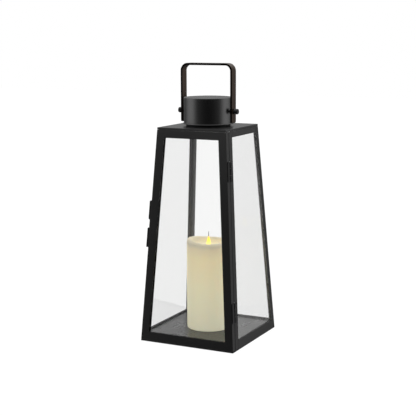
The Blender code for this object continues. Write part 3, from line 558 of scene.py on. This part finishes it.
def make_strap():
    """The bent strap, with eased edges, rounded feet and a hole for each stud."""
    low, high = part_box("handle_strap")
    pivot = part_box("pivot_knob_left")
    outer = strap_line(high.x, high.z, STRAP_BEND, low.z)
    inner = strap_line(high.x - STRAP_THICKNESS, high.z - STRAP_THICKNESS,
                       STRAP_BEND - STRAP_THICKNESS, low.z)
    bm = bmesh.new()
    front = []
    for outer_point, inner_point in zip(outer, inner):
        front.append([bm.verts.new((x, low.y, z)) for x, z in (outer_point, inner_point)])
    for first, second in zip(front, front[1:]):
        bm.faces.new((first[0], second[0], second[1], first[1]))
    faces = bmesh.ops.extrude_face_region(bm, geom=list(bm.faces))
    moved = [item for item in faces["geom"] if isinstance(item, bmesh.types.BMVert)]
    bmesh.ops.translate(bm, verts=moved, vec=(0, high.y - low.y, 0))
    bmesh.ops.recalc_face_normals(bm, faces=bm.faces)
    feet = [e for e in bm.edges if all(abs(v.co.z - low.z) < 0.01 * MM for v in e.verts)
            and abs(e.verts[0].co.y - e.verts[1].co.y) < 0.01 * MM]
    bmesh.ops.bevel(bm, geom=feet, offset=STRAP_FOOT_ROUND, segments=6, profile=0.5,
                    affect="EDGES")
    bmesh.ops.bevel(bm, geom=sharp_edges(bm, 40), offset=STRAP_EDGE, segments=2, profile=0.5,
                    affect="EDGES")
    strap = object_from(bm, "bent_strap")
    finish_piece(strap, "handle_strap", 45)
    for side in (-1, 1):
        cut_stud_hole(strap, (side * high.x, 0, (pivot[0].z + pivot[1].z) / 2))
    keep_faces_flat(strap)
    hide_from_gloss(strap, NODES["pivot_spacer_left"], NODES["pivot_spacer_right"])


def make_candle():
    """The poured wax pillar, its rim a little uneven, with a shallow bowl round the wick."""
    top = candle_high.z
    radius = candle_high.x
    bowl = top - BOWL_DEPTH
    side_top = top - RIM_ROUND
    side_foot = candle_low.z + CANDLE_FOOT_ROUND
    cavity_top = candle_low.z + CAVITY_HEIGHT
    side_lines = 26
    profile = [(WICK_BORE, bowl), (12 * MM, bowl + 0.1 * MM), (20 * MM, bowl + 0.5 * MM),
               (26 * MM, bowl + 1.6 * MM), (29.2 * MM, bowl + 4.2 * MM)]
    profile += arc((radius - RIM_ROUND, side_top), RIM_ROUND, 165, 0, 14)
    for i in range(1, side_lines):
        profile.append((radius, side_top + (side_foot - side_top) * i / side_lines))
    profile += arc((radius - CANDLE_FOOT_ROUND, side_foot), CANDLE_FOOT_ROUND, 0, -90, 4)
    profile += [(CAVITY_RADIUS, candle_low.z), (CAVITY_RADIUS, cavity_top),
                (WICK_BORE, cavity_top), (WICK_BORE, bowl)]

    def wobble(point):
        """Lift the rim unevenly, and press faint waves into the sides."""
        if point.z < candle_low.z + UNEVEN_ABOVE and point.xy.length < radius - 2 * MM:
            return point
        around = Vector((point.x, point.y, 0)).normalized()
        near_rim = max(0.0, (point.z - (top - UNEVEN_DEPTH)) / UNEVEN_DEPTH)
        swell = RIM_LIFT + RIM_HIGH_LIFT * max(0.0, around.dot(RIM_HIGH_SIDE)) ** 1.5
        sag = noise.noise(around * 5.0) * 0.35 * MM - swell
        wave = noise.noise(Vector((around.x * 2, around.y * 2, point.z * 14))) * 0.18 * MM
        moved = point - Vector((0, 0, sag)) * near_rim
        return moved - around * (abs(wave) + 0.05 * MM)

    finish_piece(lathe("wax_pillar", profile, 128, wobble), "candle_wax", 50)


def make_flame():
    """The flame lens: a flat drop with a soft shoulder and a drawn-out tip, on a thin stem."""
    height = flame_high.z - FLAME_BASE
    steps = 28
    thinnest = 0.25 * MM
    stem = 2.6 * MM
    flatness = 0.62
    profile = [(0, flame_high.z)]
    for i in range(1, steps):
        part = 1 - i / steps
        swell = (1 - part) ** 0.72 * (1 - (1 - part) ** 7) ** 0.5
        profile.append((max(flame_high.x * swell, thinnest), FLAME_BASE + part * height))
    profile += [(stem, FLAME_BASE), (stem, flame_low.z), (0, flame_low.z)]
    flame = lathe("flame_drop", profile, 40)
    for vertex in flame.data.vertices:
        vertex.co.y *= flatness
    finish_piece(flame, "flame_lens", 60)


def make_wick():
    """A charred wick of three twisted strands that taper to its tip."""
    low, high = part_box("candle_wick")
    middle = (low + high) / 2
    root = 1.2 * MM
    length = high.z - low.z + root
    spread = 0.34 * MM
    thickness = 0.36 * MM
    turns = 1.3
    strands = 3
    rings = 14
    sides = 8
    bm = bmesh.new()
    for strand in range(strands):
        phase = 2 * math.pi * strand / strands
        previous = None
        for i in range(rings):
            part = i / (rings - 1)
            turn = phase + part * turns * 2 * math.pi
            thin = 1 - 0.35 * part
            center = Vector((middle.x + spread * thin * math.cos(turn),
                             middle.y + spread * thin * math.sin(turn),
                             low.z - root + part * length))
            ring = [bm.verts.new(center + Vector((math.cos(a), math.sin(a), 0)) * thickness * thin)
                    for a in (2 * math.pi * k / sides for k in range(sides))]
            if previous:
                for k in range(sides):
                    j = (k + 1) % sides
                    bm.faces.new((previous[k], previous[j], ring[j], ring[k]))
            else:
                bm.faces.new(ring[::-1])
            previous = ring
        bm.faces.new(previous)
    finish_piece(object_from(bm, "twisted_wick"), "candle_wick", 60)


def make_sheets_and_panes():
    """Redraw the folded sheets, the panes and the small hinge and latch pieces."""
    for node, slot in NODE_SLOTS.items():
        if slot == "black_paint" and node not in OWN_PAINT:
            refined(node, SHEET_EDGE, taller=DOOR_RAISE if node == "door_frame" else 0.0)
    refined("floor_pan", FLOOR_PAN_EDGE, material=FLOOR_PAINT)
    refined("vent_neck", NECK_EDGE, material=NECK_SHADED_PAINT)
    for node in ("post_back_left", "post_back_right"):
        refined(node, SHEET_EDGE, material=BACK_POST_PAINTED_LIGHT)
    for node in FINE:
        refined(node, FINE_EDGE, corner=40)
    for node in ("glass_back", "door_glass"):
        refined(node, PANE_EDGE, 1)
    for node in ("glass_left", "glass_right"):
        refined(node, PANE_EDGE, 1, material=SIDE_GLASS)


def coat_cad_nodes():
    """Give every CAD node its slot's material, for those that stay in sight."""
    for name, node in NODES.items():
        node.data.materials.clear()
        node.data.materials.append(SLOT_MATERIALS[NODE_SLOTS[name]])


# ---- Stage, light and camera ----

def seen_directly(tree):
    path = tree.nodes.new("ShaderNodeLightPath").outputs
    return add_math(tree, "MAXIMUM", path["Is Camera Ray"], path["Is Transmission Ray"])


def make_floor():
    """A white table, evenly lit, so that only a faint shadow shows. It isn't in reflections,
    where the studio's own light below the horizon is seen."""
    bpy.ops.mesh.primitive_plane_add(size=FLOOR_SIZE, location=(0, 0, -FLOOR_DROP))
    floor = bpy.context.object
    floor.name = "studio_floor"
    material, tree = new_material("white_table")
    grain = add_ramp(tree, add_noise(tree, 40, 2), [(0.3, 0.07), (0.7, 0.09)])
    table = add_node(tree, "ShaderNodeBsdfDiffuse", Color=grain)
    strength = add_math(tree, "MULTIPLY", seen_directly(tree), FLOOR_GLOW)
    glow = add_node(tree, "ShaderNodeEmission", Color=(1, 1, 1, 1), Strength=strength)
    both = tree.nodes.new("ShaderNodeAddShader")
    tree.links.new(table.outputs[0], both.inputs[0])
    tree.links.new(glow.outputs[0], both.inputs[1])
    output(tree, both.outputs[0])
    floor.data.materials.append(material)
    floor.visible_glossy = False


def make_world():
    """A white backdrop. What lights the lantern is dim in front and bright at both sides."""
    world = bpy.data.worlds.new("studio")
    bpy.context.scene.world = world
    world.use_nodes = True
    tree = world.node_tree
    tree.nodes.clear()
    azimuth = math.radians(VIEW_AZIMUTH)
    front = (math.sin(azimuth), -math.cos(azimuth), 0)
    direction = add_place(tree, "Generated")
    toward = add_vector_math(tree, "DOT_PRODUCT", direction, front)
    share = add_range(tree, toward.outputs["Value"], -1, 1)
    height = add_node(tree, "ShaderNodeSeparateXYZ", Vector=direction).outputs["Z"]
    below = add_ramp(tree, share, BELOW_HORIZON)
    above = add_ramp(tree, share, ABOVE_HORIZON)
    level = add_mix(tree, add_range(tree, height, *HORIZON_BAND), below, above)
    light = add_mix(tree, add_range(tree, height, *OVERHEAD_BAND), level, OVERHEAD)
    studio = add_node(tree, "ShaderNodeBackground", Color=light, Strength=STUDIO_STRENGTH)
    backdrop = add_node(tree, "ShaderNodeBackground", Color=(1, 1, 1, 1), Strength=1.0)
    mix = add_node(tree, "ShaderNodeMixShader", Fac=seen_directly(tree))
    tree.links.new(studio.outputs[0], mix.inputs[1])
    tree.links.new(backdrop.outputs[0], mix.inputs[2])
    add_node(tree, "ShaderNodeOutputWorld", Surface=mix.outputs[0])


def make_camera():
    azimuth, elevation = math.radians(VIEW_AZIMUTH), math.radians(VIEW_ELEVATION)
    roll = math.radians(VIEW_ROLL)
    back = Vector((math.sin(azimuth) * math.cos(elevation),
                   -math.cos(azimuth) * math.cos(elevation), math.sin(elevation)))
    right = Vector((math.cos(azimuth), math.sin(azimuth), 0))
    up = back.cross(right)
    turned_right = right * math.cos(roll) + up * math.sin(roll)
    turned_up = up * math.cos(roll) - right * math.sin(roll)
    aim = Vector((0, 0, VIEW_AIM_HEIGHT)) + right * VIEW_AIM_SIDE
    data = bpy.data.cameras.new("camera")
    data.lens = LENS
    data.sensor_width = SENSOR
    data.clip_start = 0.05
    camera = bpy.data.objects.new("camera", data)
    camera.matrix_world = Matrix.Translation(aim + back * VIEW_DISTANCE) @ Matrix(
        (turned_right, turned_up, back)).transposed().to_4x4()
    bpy.context.scene.collection.objects.link(camera)
    bpy.context.scene.camera = camera


make_sheets_and_panes()
make_cap()
make_knobs()
make_strap()
make_candle()
make_flame()
make_wick()
coat_cad_nodes()
make_floor()
make_world()
make_camera()
bpy.context.scene.view_settings.view_transform = "Standard"
